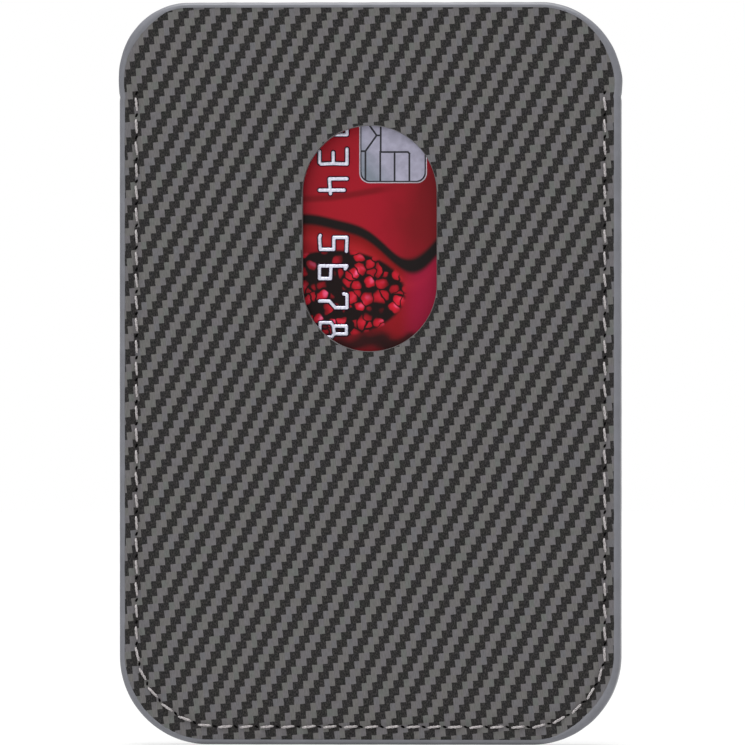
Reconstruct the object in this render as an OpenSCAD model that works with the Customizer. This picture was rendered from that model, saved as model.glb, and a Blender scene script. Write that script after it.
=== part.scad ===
// Magnetic card wallet: a slim stitched sleeve with a thumb window, holding one bank card.
//
// The wallet stands upright. +Z points to the mouth, the front faces -Y and the back
// lies in the plane y = 0. The origin is the middle of the magnet ring on the back face,
// straight behind the middle of the thumb window.
//
// Every piece is drawn lying flat, with x across, y up the wallet and z the depth from
// the back face, and upright() stands it up.

/* [Card] */
// Short side of the card, across the wallet
card_w = 53.98; // [45:0.01:65]
// Long side of the card, up the wallet
card_h = 85.6; // [71:0.1:103]
// Thickness of the card
card_t = 0.76; // [0.6:0.01:1]
// Corner radius of the card
card_corner = 3.18; // [1:0.01:5]
// Height of the embossed digits
digit_relief = 0.3; // [0.1:0.05:0.5]
// Size of the chip across the card's short side
chip_w = 8.6; // [7:0.1:10.4]
// Size of the chip along the card's long side
chip_h = 11.4; // [9:0.1:13.7]
// Thickness of the chip's contact plate
chip_t = 0.2; // [0.1:0.05:0.25]
// Width of the magnetic stripe
stripe_w = 10.3; // [8:0.1:12.7]
// Thickness of the stripe and of the signature panel
print_t = 0.05; // [0.03:0.01:0.1]

/* [Pocket] */
// Free width beside the card on each side
card_side_gap = 1.46; // [0.5:0.01:2]
// Free height under the card
card_foot_gap = 0.1; // [0.05:0.05:0.5]
// Free depth behind the card
card_back_gap = 0.1; // [0.05:0.01:0.3]
// Free depth in front of the embossed digits
digit_gap = 0.19; // [0.1:0.01:0.4]
// How far the card's top edge lies below the mouth
mouth_cover = 2; // [1:0.1:4]
// Width of the joined margin beside the pocket
side_margin = 3.3; // [2.8:0.1:5]
// Width of the joined margin below the pocket
bottom_margin = 6.3; // [5:0.1:9]
// Length below the mouth over which the two leaves stay apart
free_mouth = 11.9; // [9:0.1:15]
// How far the spacer reaches above the joined edge
spacer_rise = 1.1; // [0.5:0.1:3]

/* [Outline] */
// Radius of the two corners at the mouth
top_corner = 8.9; // [7:0.1:11]
// Radius of the two corners at the bottom
bottom_corner = 11.2; // [9:0.1:13.5]
// Width of the painted edge around every leaf
edge_coat = 0.75; // [0.5:0.05:1]
// Rounding of the painted edge
edge_round = 0.7; // [0.4:0.05:0.72]

/* [Thumb window] */
// Width of the window
window_w = 17; // [14:0.5:21]
// Height of the window
window_h = 28.6; // [23:0.1:35]
// Thickness of the paint on the window's wall
window_coat = 0.12; // [0.08:0.01:0.3]

/* [Leaves] */
// Thickness of the front skin
front_skin_t = 0.8; // [0.6:0.05:1.2]
// Thickness of the front stiffener
stiffener_t = 0.35; // [0.3:0.05:0.6]
// Thickness of the front lining
front_lining_t = 0.3; // [0.25:0.05:0.5]
// Thickness of the lining behind the card
pocket_lining_t = 0.3; // [0.2:0.05:0.5]
// Thickness of the back skin
back_skin_t = 0.7; // [0.5:0.05:1]
// Web of the carrier between the magnets and the shield
carrier_web = 0.2; // [0.15:0.05:0.4]
// Thickness of the steel shield
shield_t = 0.2; // [0.1:0.05:0.3]
// How far the shield stays inside the outline
shield_inset = 3.6; // [3.2:0.1:6]

/* [Magnets] */
// Outer diameter of the magnet ring
ring_od = 55; // [45:0.5:66]
// Inner diameter of the magnet ring
ring_id = 46; // [38:0.5:50]
// Number of arc magnets in the ring
ring_count = 36; // [12:2:48]
// Thickness of every magnet
magnet_t = 1; // [0.6:0.1:1.5]
// Gap between neighbouring magnets
magnet_gap = 0.3; // [0.1:0.05:0.6]
// Clearance around the magnets in the carrier
magnet_play = 0.1; // [0.05:0.05:0.2]
// Thickness of the steel yokes in front of the magnets
yoke_t = 0.2; // [0.1:0.05:0.4]
// Thickness of the film that closes the magnet grooves
film_t = 0.1; // [0.05:0.05:0.2]
// How far the film reaches past the magnets
film_border = 1; // [0.5:0.1:1.5]
// Distance from the ring to the edge beside it, at least
ring_side_margin = 4.2; // [3.6:0.1:6]
// Distance from the ring to the mouth
ring_top_margin = 2.4; // [2:0.1:6]
// Width of the pair of alignment magnets
bar_w = 6; // [4:0.1:8]
// Height of the alignment magnets
bar_h = 14; // [10:0.5:17]
// Distance from the ring down to the alignment magnets
bar_drop = 2.5; // [2.5:0.1:4]

/* [Stitching] */
// Distance from the outline to the seam
seam_inset = 2.05; // [1.6:0.05:2.5]
// Radius of the seam's bottom corners
seam_corner = 10.65; // [9:0.05:12]
// Distance from the mouth down to the first needle hole
seam_drop = 11.45; // [9:0.05:14]
// Distance between needle holes
stitch_pitch = 2.74; // [2.2:0.01:3.2]
// Visible length of a stitch
stitch_l = 1.85; // [1.5:0.05:2.1]
// Width of the thread
thread_w = 0.4; // [0.3:0.05:0.6]
// Thickness of the thread as it lies
thread_t = 0.25; // [0.15:0.05:0.4]
// Depth to which a front stitch sinks into the skin
stitch_sink = 0.13; // [0.05:0.01:0.2]
// Depth to which the back stitches lie under the back face
bobbin_cover = 0.05; // [0.02:0.01:0.1]

/* [Hidden] */

$fn = 96;

// How far a cutting shape passes through the face that it opens
through = 1;

// Overall size. The leaves grow with the card and with the ring, whichever asks for more.
pocket_w = card_w + 2 * card_side_gap;
wallet_w = max(pocket_w + 2 * side_margin, ring_od + 2 * ring_side_margin);
wallet_h = mouth_cover + card_h + card_foot_gap + bottom_margin;
top_y = ring_od / 2 + ring_top_margin;
bottom_y = top_y - wallet_h;

// Depths of the layers, counted from the back face
carrier_t = film_t + magnet_t + yoke_t + carrier_web + shield_t;
pocket_t = card_back_gap + card_t + digit_relief + digit_gap;
front_leaf_t = front_lining_t + stiffener_t + front_skin_t;
carrier_d = back_skin_t;
magnet_d = carrier_d + film_t;
yoke_d = magnet_d + magnet_t;
shield_d = yoke_d + yoke_t + carrier_web;
pocket_lining_d = carrier_d + carrier_t;
pocket_d = pocket_lining_d + pocket_lining_t;
front_lining_d = pocket_d + pocket_t;
stiffener_d = front_lining_d + front_lining_t;
front_skin_d = stiffener_d + stiffener_t;
wallet_t = front_skin_d + front_skin_t;

// Where the leaves join
joined_y = top_y - free_mouth;
spacer_top_y = joined_y + spacer_rise;

// The card and what lies on it, measured from its top edge and its right long edge
card_top_y = top_y - mouth_cover;
card_d = pocket_d + card_back_gap;
pocket_floor_y = card_top_y - card_h - card_foot_gap;
chip_down = 15.16;
chip_in = 24.11;
chip_corner = 1.2;
module_w = 5;
module_t = 0.3;
stripe_in = 4.5;
panel_in = 18;
panel_w = 9;
panel_down = 6;
panel_foot = 19.6;
panel_l = card_h - panel_down - panel_foot;
card_number = "1234 5678 9012 3456";
digit_first = 10.2;
digit_last = 9.52;
digit_pitch = (card_h - digit_first - digit_last) / (len(card_number) - 1);
digit_in = 31.71;
digit_w = 2.5;
digit_h = 3.95;
digit_stroke = 0.5;

// Bars of a digit: top, upper right, lower right, bottom, lower left, upper left, middle
DIGIT_BARS = [
    "abcdef", "bc", "abdeg", "abcdg", "bcfg",
    "acdfg", "acdefg", "abc", "abcdefg", "abcdfg"
];

// The seam runs down the left side, around the bottom and up the right side.
seam_x = wallet_w / 2 - seam_inset;
seam_top_y = top_y - seam_drop;
seam_bottom_y = bottom_y + seam_inset;
seam_r = seam_corner;
seam_side = seam_top_y - seam_bottom_y - seam_r;
seam_bend = PI / 2 * seam_r;
seam_floor = 2 * (seam_x - seam_r);
seam_l = 2 * seam_side + 2 * seam_bend + seam_floor;
stitch_count = round(seam_l / stitch_pitch);
stitch_step = seam_l / stitch_count;

// Place and direction of the seam at the distance s from its start: [x, y, angle]
function bend_angle(s) = s / seam_r * 180 / PI;
function left_bend(a) = [
    seam_r - seam_x + seam_r * cos(180 + a),
    seam_bottom_y + seam_r + seam_r * sin(180 + a),
    a - 90
];
function right_bend(a) = [
    seam_x - seam_r + seam_r * cos(270 + a),
    seam_bottom_y + seam_r + seam_r * sin(270 + a),
    a
];
function seam_at(s) =
    s < seam_side ? [-seam_x, seam_top_y - s, -90]
    : s < seam_side + seam_bend ? left_bend(bend_angle(s - seam_side))
    : s < seam_side + seam_bend + seam_floor
        ? [seam_r - seam_x + s - seam_side - seam_bend, seam_bottom_y, 0]
    : s < seam_l - seam_side
        ? right_bend(bend_angle(s - seam_side - seam_bend - seam_floor))
    : [seam_x, seam_top_y - (seam_l - s), 90];

// ---- Helpers ----

// Stands the flat drawing up: depth runs to -Y and the drawing's y becomes Z.
module upright() {
    rotate([90, 0, 0]) children();
}

// A layer of the given thickness at a depth
module layer(depth, t) {
    translate([0, 0, depth]) linear_extrude(t) children();
}

// The wallet's outline, pulled in by a constant inset
module outline(inset) {
    half = wallet_w / 2 - inset;
    high = top_y - inset;
    low = bottom_y + inset;
    rt = top_corner - inset;
    rb = bottom_corner - inset;
    translate([-half, low + rb]) square([2 * half, high - rt - low - rb]);
    translate([rt - half, high - rt]) square([2 * (half - rt), rt]);
    translate([rb - half, low]) square([2 * (half - rb), rb]);
    for (side = [-1, 1]) {
        translate([side * (half - rt), high - rt]) circle(rt);
        translate([side * (half - rb), low + rb]) circle(rb);
    }
}

// A rectangle with four round corners, around the middle
module round_rectangle(w, h, r) {
    square([w, h - 2 * r], center = true);
    square([w - 2 * r, h], center = true);
    for (x = [-1, 1], y = [-1, 1]) translate([x * (w / 2 - r), y * (h / 2 - r)]) circle(r);
}

// The thumb window, made larger all round
module window_shape(grow) {
    w = window_w + 2 * grow;
    straight = window_h - window_w;
    square([w, straight], center = true);
    for (y = [-1, 1]) translate([0, y * straight / 2]) circle(w / 2);
}

// A leaf's layer: the outline inside the painted edge
module leaf(depth, t) {
    layer(depth, t) outline(edge_coat);
}

// A front leaf's layer with the window cut out
module window_leaf(depth, t) {
    difference() {
        leaf(depth, t);
        layer(depth - through, t + 2 * through) window_shape(window_coat);
    }
}

// A flat ring that follows the magnets
module ring_shape(grow) {
    difference() {
        circle(ring_od / 2 + grow);
        circle(ring_id / 2 - grow);
    }
}

// The rectangle of the alignment magnets below the ring
module bar_shape(grow) {
    translate([-bar_w / 2 - grow, -ring_od / 2 - bar_drop - bar_h - grow])
        square([bar_w + 2 * grow, bar_h + 2 * grow]);
}

// The film's outline: the ring and the bar joined by a neck
module film_shape() {
    ring_shape(film_border);
    bar_shape(film_border);
    translate([-bar_w / 2 - film_border, -ring_od / 2 - bar_drop])
        square([bar_w + 2 * film_border, bar_drop + film_border]);
}

// A painted edge's section: x runs outwards from the leaf and y is the depth.
module edge_section(t) {
    intersection() {
        square([edge_coat, t]);
        union() {
            translate([-edge_coat, 0]) square([2 * edge_coat - edge_round, t]);
            translate([0, edge_round]) square([edge_coat, t - 2 * edge_round]);
            for (y = [edge_round, t - edge_round]) translate([edge_coat - edge_round, y]) circle(edge_round);
        }
    }
}

// Draws a section along a straight edge, towards -y
module run(l) {
    rotate([90, 0, 0]) linear_extrude(l) children();
}

// Draws a section once around the outline, from the depth d
module rim(d) {
    half = wallet_w / 2 - edge_coat;
    high = top_y - edge_coat;
    low = bottom_y + edge_coat;
    rt = top_corner - edge_coat;
    rb = bottom_corner - edge_coat;
    translate([0, 0, d]) {
        translate([rt - half, high, 0]) rotate([0, 0, 90]) run(2 * (half - rt)) children();
        translate([half - rb, low, 0]) rotate([0, 0, -90]) run(2 * (half - rb)) children();
        for (side = [0, 1]) mirror([side, 0, 0]) {
            translate([half, high - rt, 0]) run(high - rt - low - rb) children();
            translate([half - rt, high - rt, 0])
                rotate_extrude(angle = 90) translate([rt, 0]) children();
            translate([half - rb, low + rb, 0]) rotate([0, 0, -90])
                rotate_extrude(angle = 90) translate([rb, 0]) children();
        }
    }
}

// Keeps what lies above (1) or below (-1) the height where the leaves join
module keep(side) {
    tall = 2 * wallet_h;
    intersection() {
        children();
        translate([-wallet_w, side > 0 ? joined_y : joined_y - tall, -wallet_t])
            cube([2 * wallet_w, tall, 3 * wallet_t]);
    }
}

// One stitch seen from above, along x
module stitch_shape() {
    square([stitch_l - thread_w, thread_w], center = true);
    for (side = [-1, 1]) translate([side * (stitch_l - thread_w) / 2, 0]) circle(thread_w / 2);
}

// All stitches of the seam, from the depth d
module stitches(d, t) {
    for (i = [0 : stitch_count - 1]) {
        place = seam_at((i + 0.5) * stitch_step);
        translate([place[0], place[1], d]) rotate([0, 0, place[2]])
            linear_extrude(t) stitch_shape();
    }
}

// The room between the leaves that takes the card, with no top
module pocket_shape() {
    r = card_corner;
    translate([-pocket_w / 2, pocket_floor_y + r]) square([pocket_w, wallet_h]);
    translate([r - pocket_w / 2, pocket_floor_y]) square([pocket_w - 2 * r, r]);
    for (side = [-1, 1]) translate([side * (pocket_w / 2 - r), pocket_floor_y + r]) circle(r);
}

// A place on the card: in from its right long edge and down from its top edge
module on_card(in, down) {
    translate([card_w / 2 - in, card_top_y - down]) children();
}

// One bar of a digit, named a to g
module digit_bar(name) {
    x = digit_w / 2 - digit_stroke / 2;
    y = digit_h / 2 - digit_stroke / 2;
    flat = name == "a" || name == "d" || name == "g";
    level = name == "a" ? y : name == "d" ? -y : 0;
    side = name == "b" || name == "c" ? x : -x;
    half = name == "b" || name == "f" ? y / 2 : -y / 2;
    place = flat ? [0, level] : [side, half];
    size = flat ? [digit_w, digit_stroke] : [digit_stroke, y + digit_stroke];
    translate(place) square(size, center = true);
}

// The card's number, with its digits reading down the wallet
module number_shape() {
    for (i = [0 : len(card_number) - 1]) if (card_number[i] != " ")
        on_card(digit_in, digit_first + i * digit_pitch) rotate([0, 0, -90])
            for (bar = DIGIT_BARS[ord(card_number[i]) - ord("0")]) digit_bar(bar);
}

module chip_shape() {
    on_card(chip_in, chip_down) round_rectangle(chip_w, chip_h, chip_corner);
}

module chip_module_shape() {
    on_card(chip_in, chip_down) square(module_w, center = true);
}

module stripe_shape() {
    on_card(stripe_in + stripe_w, card_h) square([stripe_w, card_h]);
}

module panel_shape() {
    on_card(panel_in + panel_w, panel_down + panel_l) square([panel_w, panel_l]);
}

// ---- Front leaf ----

// Woven-look skin with the thumb window and a dent under each stitch
module front_skin() {
    color("#4b4b4c") upright() difference() {
        window_leaf(front_skin_d, front_skin_t);
        stitches(wallet_t - stitch_sink, through);
    }
}

// Fibre board that keeps the front leaf flat
module front_stiffener() {
    color("#6f665c") upright() window_leaf(stiffener_d, stiffener_t);
}

// Microfibre that faces the card
module front_lining() {
    color("#2c2c2e") upright() window_leaf(front_lining_d, front_lining_t);
}

// Paint on the cut wall of the thumb window
module window_edge_coat() {
    color("#6f6f73") upright() layer(front_lining_d, front_leaf_t) difference() {
        window_shape(window_coat);
        window_shape(0);
    }
}

// Rounded paint around the free part of the front leaf
module front_mouth_coat() {
    color("#77777b") upright() keep(1) rim(front_lining_d) edge_section(front_leaf_t);
}

// ---- Between the leaves ----

// Bonded-leather strip around the card's sides and foot
module edge_spacer() {
    color("#3b3634") upright() layer(pocket_d, pocket_t) difference() {
        outline(edge_coat);
        pocket_shape();
        translate([-wallet_w, spacer_top_y]) square([2 * wallet_w, wallet_h]);
    }
}

// Rounded paint that closes the joined edge over the full thickness
module side_edge_coat() {
    color("#747478") upright() keep(-1) rim(0) edge_section(wallet_t);
}

// ---- Back leaf ----

// Microfibre behind the card
module pocket_lining() {
    color("#2c2c2e") upright() leaf(pocket_lining_d, pocket_lining_t);
}

// Steel sheet that keeps the magnets' field from the card
module shield_plate() {
    color("#a9adb2") upright() layer(shield_d, shield_t) outline(shield_inset);
}

// Board with the magnets' grooves at its back and the shield's seat at its front
module magnet_carrier() {
    groove_t = film_t + magnet_t + yoke_t;
    color("#26282b") upright() difference() {
        leaf(carrier_d, carrier_t);
        layer(carrier_d - through, through + film_t) film_shape();
        layer(carrier_d - through, through + groove_t) ring_shape(magnet_play);
        layer(carrier_d - through, through + groove_t) bar_shape(magnet_play);
        layer(shield_d, shield_t + through) outline(shield_inset);
    }
}

// Flat steel ring in front of the ring magnets
module yoke_ring() {
    color("#8f9398") upright() layer(yoke_d, yoke_t) ring_shape(0);
}

// Flat steel bar in front of the alignment magnets
module yoke_bar() {
    color("#8f9398") upright() layer(yoke_d, yoke_t) bar_shape(0);
}

// Arc magnets in a closed ring
module ring_magnets() {
    turn = 360 / ring_count;
    gap_turn = magnet_gap / (ring_id / 2) * 180 / PI;
    color("#c4c7cc") upright() for (i = [0 : ring_count - 1])
        translate([0, 0, magnet_d]) rotate([0, 0, i * turn + gap_turn / 2])
            rotate_extrude(angle = turn - gap_turn)
                translate([ring_id / 2, 0]) square([(ring_od - ring_id) / 2, magnet_t]);
}

// Two bars that stop the wallet from turning on the phone
module alignment_magnets() {
    single_w = (bar_w - magnet_gap) / 2;
    color("#c4c7cc") upright() for (side = [-1, 1])
        translate([
            side * (single_w + magnet_gap) / 2 - single_w / 2,
            -ring_od / 2 - bar_drop - bar_h,
            magnet_d
        ]) cube([single_w, bar_h, magnet_t]);
}

// Film that closes the grooves over the magnets
module magnet_film() {
    color("#d8dadd") upright() layer(carrier_d, film_t) film_shape();
}

// Soft skin that lies on the phone, with a dent for each back stitch
module back_skin() {
    color("#47474a") upright() difference() {
        leaf(0, back_skin_t);
        stitches(-through, through + bobbin_cover + thread_t);
    }
}

// Rounded paint around the free part of the back leaf
module back_mouth_coat() {
    color("#77777b") upright() keep(1) rim(0) edge_section(pocket_d);
}

// ---- Thread ----

// Front stitches, sunk a little into the skin
module needle_thread() {
    color("#beb9b9") upright() stitches(wallet_t - stitch_sink, thread_t);
}

// Back stitches, below the back face
module bobbin_thread() {
    color("#beb9b9") upright() stitches(bobbin_cover, thread_t);
}

// ---- Card ----

// Plastic card with embossed digits and seats for the chip, the stripe and the panel
module card_body() {
    front_d = card_d + card_t;
    color("#a91d30") upright() {
        difference() {
            layer(card_d, card_t) on_card(card_w / 2, card_h / 2)
                round_rectangle(card_w, card_h, card_corner);
            layer(front_d - chip_t, through) chip_shape();
            layer(front_d - chip_t - module_t, through) chip_module_shape();
            layer(card_d - through, through + print_t) stripe_shape();
            layer(card_d - through, through + print_t) panel_shape();
        }
        layer(front_d, digit_relief) number_shape();
    }
}

// Contact plate with the chip's module behind it
module card_chip() {
    face_d = card_d + card_t - chip_t;
    color("#9d9ba8") upright() {
        layer(face_d, chip_t) chip_shape();
        layer(face_d - module_t, module_t) chip_module_shape();
    }
}

// Magnetic stripe on the card's back
module card_stripe() {
    color("#1b1614") upright() layer(card_d, print_t) stripe_shape();
}

// Signature panel on the card's back
module card_signature_panel() {
    color("#e6e3da") upright() layer(card_d, print_t) panel_shape();
}

front_skin();
front_stiffener();
front_lining();
window_edge_coat();
front_mouth_coat();
edge_spacer();
side_edge_coat();
pocket_lining();
shield_plate();
magnet_carrier();
yoke_ring();
yoke_bar();
ring_magnets();
alignment_magnets();
magnet_film();
back_skin();
back_mouth_coat();
needle_thread();
bobbin_thread();
card_body();
card_chip();
card_stripe();
card_signature_panel();
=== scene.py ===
# %% [markdown]
# # A slim card wallet
# The wallet is a flat sleeve of synthetic leather: two leaves, sewn and painted together along the sides
# and the foot, open at the top, with a thumb window in the front leaf to push the card up. Magnets behind
# the back skin hold it to a phone. The engineering model gives every place and size. This file gives the
# looks, piece by piece: skins, edge paint, thread, window rim and card, and then the stage and the camera.

# %% Load the frame
import contextlib
import math

import bmesh
import bpy
import numpy as np
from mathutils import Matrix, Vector


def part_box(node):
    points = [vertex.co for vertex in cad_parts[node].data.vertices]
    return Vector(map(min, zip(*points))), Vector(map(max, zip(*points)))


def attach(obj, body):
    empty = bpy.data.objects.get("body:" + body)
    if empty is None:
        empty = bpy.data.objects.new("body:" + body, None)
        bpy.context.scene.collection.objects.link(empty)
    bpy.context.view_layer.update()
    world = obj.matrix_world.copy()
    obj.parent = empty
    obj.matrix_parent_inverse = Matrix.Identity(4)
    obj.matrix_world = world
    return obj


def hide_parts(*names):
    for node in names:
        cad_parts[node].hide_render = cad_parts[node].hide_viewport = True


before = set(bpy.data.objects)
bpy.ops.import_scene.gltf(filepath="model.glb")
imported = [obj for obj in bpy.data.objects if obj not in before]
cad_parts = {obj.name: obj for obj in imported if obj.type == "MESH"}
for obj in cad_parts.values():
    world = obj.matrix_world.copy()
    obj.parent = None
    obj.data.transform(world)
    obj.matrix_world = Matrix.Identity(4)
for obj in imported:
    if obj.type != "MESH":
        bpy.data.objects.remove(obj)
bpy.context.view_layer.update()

# %% [markdown]
# ## Measures
# Leather workers think in millimetres, so every size below is in millimetres, and meshes are scaled to
# metres only when they are made. X runs across the wallet and Z up to its mouth. A depth counts from the
# back face towards the front, so a depth of d lies at y = -d. What the frame can tell is read from it, and
# only radii and finish details are written down as numbers.

# %% Measures read from the frame
MM = 0.001
# A distance in millimetres that is past the reach of any rule below.
FAR = 9.0


def box_mm(node):
    """Lowest and highest corner of a CAD node, in millimetres."""
    low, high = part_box(node)
    return low / MM, high / MM


side_low, side_high = box_mm("side_edge_coat")
mouth_high = box_mm("front_mouth_coat")[1]
half_width = side_high.x
top_z = mouth_high.z
bottom_z = side_low.z
joined_z = side_high.z
thickness = -side_low.y
front_leaf_depth = -mouth_high.y
back_leaf_depth = -box_mm("back_mouth_coat")[0].y
top_corner, top_right_corner = 8.9, 10.2
bottom_corner = 11.2
print("outline", round(2 * half_width, 2), "x", round(top_z - bottom_z, 2), "thickness", round(thickness, 2))

# %% [markdown]
# ## Helpers for meshes
# A finished piece's object stays at the origin, with its place in its mesh. So the helpers take points in
# the wallet's own frame and never move an object. A loft joins rings of points into a skin, which is how
# the edge paint, the card and the rim are made.

# %% Mesh helpers
def add_object(name, data):
    """A new object in the scene, at the origin."""
    made = bpy.data.objects.new(name, data)
    bpy.context.scene.collection.objects.link(made)
    return made


def new_object(name, points, faces, materials=()):
    """An object made from points in millimetres."""
    mesh = bpy.data.meshes.new(name)
    mesh.from_pydata((np.asarray(points, float) * MM).tolist(), [], faces)
    for material in materials:
        mesh.materials.append(material)
    return add_object(name, mesh)


def loft_faces(ring_count, ring_size, close_rings=False):
    """Quads between neighbouring rings, which are closed to a circle or capped at both ends."""
    faces = []
    for ring in range(ring_count if close_rings else ring_count - 1):
        here = ring * ring_size
        there = (ring + 1) % ring_count * ring_size
        for i in range(ring_size):
            j = (i + 1) % ring_size
            faces.append((here + i, here + j, there + j, there + i))
    if not close_rings:
        faces.append(tuple(reversed(range(ring_size))))
        faces.append(tuple((ring_count - 1) * ring_size + i for i in range(ring_size)))
    return faces


@contextlib.contextmanager
def open_mesh(thing):
    """A mesh to edit. At the end its faces are all turned outwards."""
    shell = bmesh.new()
    shell.from_mesh(thing.data)
    yield shell
    bmesh.ops.recalc_face_normals(shell, faces=shell.faces)
    shell.to_mesh(thing.data)
    shell.free()


def turn_outwards(thing):
    """Turns every face of a closed mesh outwards."""
    with open_mesh(thing):
        pass


def set_depth(geometry, depth):
    """Moves the points among some mesh elements to a depth."""
    for item in geometry:
        if isinstance(item, bmesh.types.BMVert):
            item.co.y = -depth * MM


def loft(name, rings, materials=(), close_rings=False):
    """A closed skin through rings of points."""
    points = [point for ring in rings for point in ring]
    made = new_object(name, points, loft_faces(len(rings), len(rings[0]), close_rings), materials)
    turn_outwards(made)
    return made


def finished_mesh(thing):
    """What an object's modifiers make of it, as a plain mesh."""
    bpy.context.view_layer.update()
    graph = bpy.context.evaluated_depsgraph_get()
    mesh = bpy.data.meshes.new_from_object(thing.evaluated_get(graph))
    thing.modifiers.clear()
    mesh.name = thing.name
    return mesh


def boolean(thing, tool, operation):
    """Cuts or clips a closed mesh with another closed mesh, and removes the tool."""
    modifier = thing.modifiers.new("shape", "BOOLEAN")
    modifier.solver = "MANIFOLD"
    modifier.operation = operation
    modifier.object = tool
    thing.data = finished_mesh(thing)
    bpy.data.objects.remove(tool)


def place_piece(thing, body, slot, *nodes, crease=180):
    """Hands a finished piece to the frame: the body it moves with, its finish (the slot, which is not used)
    and what it stands for.

    It is shaded smooth, with a crease where faces meet at more than an angle."""
    thing.data.shade_smooth()
    if crease < 180:
        thing.data.set_sharp_from_angle(angle=math.radians(crease))
    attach(thing, body)
    if nodes:
        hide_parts(*nodes)
    corners = np.array([v.co for v in thing.data.vertices]) / MM
    size = [round(float(x), 2) for x in corners.max(0) - corners.min(0)]
    print(thing.name, "faces:", len(thing.data.polygons), "size:", size)


# %% [markdown]
# ## Helpers for materials
# Every finish is a small tree of shader nodes on Object coordinates, so nothing is unwrapped and the
# pattern keeps its real scale. Object coordinates come in metres, and one Mapping node turns them into
# millimetres. Colours are written the way a screen shows them and turned into light values here. Long
# chains of Math nodes are hard to read, so a socket is taught plain arithmetic: a * 2.0 + b on sockets
# adds the Multiply node and the Add node.

# %% Node helpers
class Desk:
    """What the helpers work on: one node tree and, for a finish, its shader and its material."""
    tree = shader = material = None


def plug(socket, value):
    """Links a node or a socket to the socket, or sets the socket's own value."""
    if isinstance(value, bpy.types.Node):
        value = value.outputs[0]
    if isinstance(value, bpy.types.NodeSocket):
        Desk.tree.links.new(value, socket)
    else:
        socket.default_value = value


def add(kind, inputs=(), **settings):
    """Adds a node with its settings and inputs."""
    made = Desk.tree.nodes.new(kind)
    for name, value in settings.items():
        setattr(made, name, value)
    for socket, value in dict(inputs).items():
        plug(made.inputs[socket], value)
    return made


def calc(operation, *values):
    """A Math node. It works in shader trees and in geometry trees."""
    return add("ShaderNodeMath", dict(enumerate(values)), operation=operation).outputs[0]


# Sockets take plain arithmetic from here on: each sign adds a Math node.
Socket = bpy.types.NodeSocket
Socket.__abs__ = lambda a: calc("ABSOLUTE", a)
SIGNS = {"add": "ADD", "sub": "SUBTRACT", "mul": "MULTIPLY", "truediv": "DIVIDE", "mod": "FLOORED_MODULO"}
for sign, word in SIGNS.items():
    setattr(Socket, f"__{sign}__", lambda a, b, word=word: calc(word, a, b))
    setattr(Socket, f"__r{sign}__", lambda a, b, word=word: calc(word, b, a))
print("signs that sockets take:", ", ".join(SIGNS))


def mix(factor, first, second, blend="MIX"):
    """Mixes two colours."""
    inputs = {0: factor, 6: first, 7: second}
    return add("ShaderNodeMix", inputs, data_type="RGBA", blend_type=blend).outputs[2]


def smooth(value, low, high):
    """0 below low, 1 above high and smooth between them."""
    inputs = {0: value, 1: low, 2: high}
    return add("ShaderNodeMapRange", inputs, interpolation_type="SMOOTHSTEP").outputs[0]


def noise(place, scale, detail=2.0, roughness=0.5):
    """A noise value from 0 to 1. The scale is in waves per unit of the place."""
    inputs = {"Vector": place, "Scale": scale, "Detail": detail, "Roughness": roughness}
    return add("ShaderNodeTexNoise", inputs).outputs["Fac"]


def screen(red, green, blue):
    """A screen colour of 0 to 255 a channel, as the light values that a shader takes."""
    shares = [channel / 255 for channel in (red, green, blue)]
    return (*[c / 12.92 if c <= 0.04045 else ((c + 0.055) / 1.055) ** 2.4 for c in shares], 1.0)


def ramp(factor, *stops, tone=screen):
    """A colour ramp through stops of a place and three channels."""
    made = add("ShaderNodeValToRGB", {0: factor})
    elements = made.color_ramp.elements
    while len(elements) < len(stops):
        elements.new(0.5)
    for element, (place, *channels) in zip(elements, stops):
        element.position = place
        element.color = tone(*channels)
    return made.outputs[0]


def object_mm(stretch=(1, 1, 1)):
    """Object coordinates in millimetres, stretched along the axes."""
    source = add("ShaderNodeTexCoord").outputs["Object"]
    return add("ShaderNodeMapping", {"Vector": source, "Scale": [share / MM for share in stretch]}).outputs[0]


def split(place):
    """The three parts of a place."""
    return add("ShaderNodeSeparateXYZ", {0: place}).outputs


def vectors(operation, *values):
    """A Vector Math node."""
    return add("ShaderNodeVectorMath", dict(enumerate(values)), operation=operation).outputs[0]


def begin(name, roughness=0.5, **settings):
    """Begins a material, with fixed values set on the shader itself."""
    Desk.material = bpy.data.materials.new(name)
    Desk.material.use_nodes = True
    Desk.tree = Desk.material.node_tree
    Desk.shader = Desk.tree.nodes["Principled BSDF"]
    paint(Roughness=roughness, **settings)


def paint(**values):
    """Plugs values into the shader's inputs and returns the material."""
    for socket, value in values.items():
        plug(Desk.shader.inputs[socket.replace("_", " ")], value)
    return Desk.material


def bump(height, distance, strength=1.0):
    """Raises the surface's look by a height of 0 to 1 times the distance in millimetres."""
    inputs = {"Height": height, "Distance": distance * MM, "Strength": strength}
    return paint(Normal=add("ShaderNodeBump", inputs))


def grained(name, stretch, waves, detail, dark, light, relief_by=(0, 0), stir=None, fineness=0.5, **settings):
    """A plain finish: one noise tints the colour, and may stir the roughness and raise the surface."""
    begin(name, **settings)
    grain = noise(object_mm(stretch), waves, detail, fineness)
    if stir:
        paint(Roughness=grain * stir[0] + stir[1])
    if relief_by[0]:
        bump(grain, *relief_by)
    return paint(Base_Color=ramp(grain, (0.3, *dark), (0.7, *light)))


# %% [markdown]
# ## The weave
# The front skin is a coated synthetic leather that is printed and embossed as a two-by-two twill. In that
# weave each yarn passes over two crossing yarns and under two, and every row steps on by one yarn, so
# diagonal stairs appear. The upright yarns are dark and the level yarns are light. One rule gives it all:
# count the columns and rows of yarn crossings, and take the column minus the row. Its remainder after a
# division by four says which yarn is on top and whether the crossing is the start or the end of a float.
# The function below writes the rule once, and both the relief and the colour of the skin use it.

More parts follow.
